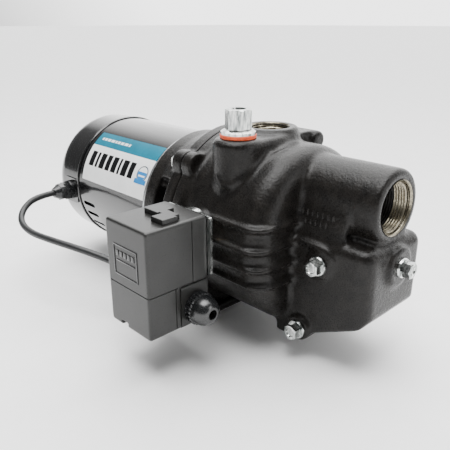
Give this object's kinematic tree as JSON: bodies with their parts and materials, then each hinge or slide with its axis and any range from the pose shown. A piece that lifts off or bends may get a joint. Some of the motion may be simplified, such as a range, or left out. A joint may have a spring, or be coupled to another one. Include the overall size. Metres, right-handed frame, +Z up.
{
  "type": "shallow well jet pump",
  "caption": "Horizontal shallow well jet pump: cast-iron casing with threaded suction and discharge ports, close-coupled electric motor, pressure switch and foot.",
  "frame": {"origin": "middle of the four base slots, on the underside of the base foot, below the shaft axis", "axes": "+X along the shaft from the motor to the suction port, +Z up out of the discharge port, pressure switch on the -Y side"},
  "size_m": [0.4204, 0.237, 0.1978],
  "materials": {
    "black_casting": "satin black enamel over sand-cast iron",
    "gloss_black": "gloss black stoved enamel on rolled steel",
    "bare_aluminium": "die-cast, machined rim",
    "zinc": "bright zinc plate",
    "steel": "ground steel",
    "lamination": "stacked steel laminations",
    "copper_winding": "varnished copper wire",
    "dark_plastic": "moulded dark grey plastic",
    "black_nylon": "moulded black nylon",
    "black_rubber": "extruded black rubber",
    "orange_seal": "moulded orange-red silicone",
    "label": "printed vinyl, teal band over white",
    "glass_filled": "glass-filled moulding",
    "brass_part": "turned brass",
    "ceramic": "lapped ceramic",
    "gasket": "fibre-reinforced rubber"
  },
  "bodies": {
    "pump": {"base_foot": "black_casting", "adapter": "black_casting", "pump_casing": "black_casting", "base_screws": "zinc", "casing_screws": "zinc", "cap_screws": "zinc", "tie_rods": "zinc", "side_plug": "zinc", "drain_plug": "zinc", "front_plug": "zinc", "switch_plate": "zinc", "terminal_screws": "zinc", "casing_gasket": "gasket", "diaphragm": "gasket", "nozzle": "brass_part", "switch_nipple": "brass_part", "venturi": "glass_filled", "diffuser": "glass_filled", "seal_seat": "ceramic", "motor_shell": "gloss_black", "rear_cap": "gloss_black", "rear_bell": "bare_aluminium", "end_bell": "bare_aluminium", "stator_core": "lamination", "stator_windings": "copper_winding", "front_bearing_outer": "steel", "rear_bearing_outer": "steel", "start_switch": "glass_filled", "start_capacitor": "black_nylon", "motor_label": "label", "diaphragm_housing": "zinc", "switch_base": "dark_plastic", "lever_pivot": "steel", "contact_block": "black_nylon", "spring_stud": "steel", "spring_nut": "zinc", "range_spring": "steel", "supply_gland": "black_nylon", "cord_gland": "black_nylon", "gland_lock_nuts": "black_nylon", "motor_gland": "black_nylon", "motor_gland_cap": "black_nylon", "motor_cord": "black_rubber"},
    "rotor": {"shaft": "steel", "rotor_core": "lamination", "front_bearing_inner": "steel", "rear_bearing_inner": "steel", "front_bearing_balls": "steel", "rear_bearing_balls": "steel", "cooling_fan": "glass_filled", "start_governor": "glass_filled", "slinger": "black_rubber", "seal_head": "steel", "impeller": "glass_filled"},
    "plunger": {"switch_plunger": "steel"},
    "lever": {"switch_lever": "zinc"},
    "cover": {"switch_cover": "dark_plastic", "cover_latch": "dark_plastic"},
    "priming_cap": {"priming_plug": "zinc", "priming_seal_ring": "orange_seal"}
  },
  "joints": [
    {"name": "rotor_spin", "type": "hinge", "parent": "pump", "child": "rotor", "pos_m": [0, 0, 0.088], "axis": [1, 0, 0], "continuous": true},
    {"name": "plunger_push", "type": "slide", "parent": "pump", "child": "plunger", "axis": [0, -1, 0], "range_m": [0, 0.0015], "stiffness_N_per_m": 400},
    {"name": "lever_tilt", "type": "hinge", "parent": "pump", "child": "lever", "pos_m": [0.072, -0.1066, 0.083], "axis": [1, 0, 0], "range_deg": [0, 4.3]},
    {"name": "cover_pull", "type": "slide", "parent": "pump", "child": "cover", "axis": [0, -1, 0], "range_m": [0, 0.07]},
    {"name": "priming_lift", "type": "slide", "parent": "pump", "child": "priming_cap", "axis": [0, 0, 1], "range_m": [0, 0.03]}
  ],
  "couplings": [
    {"joint": "lever_tilt", "follows": "plunger_push", "rad_per_m": 50}
  ]
}
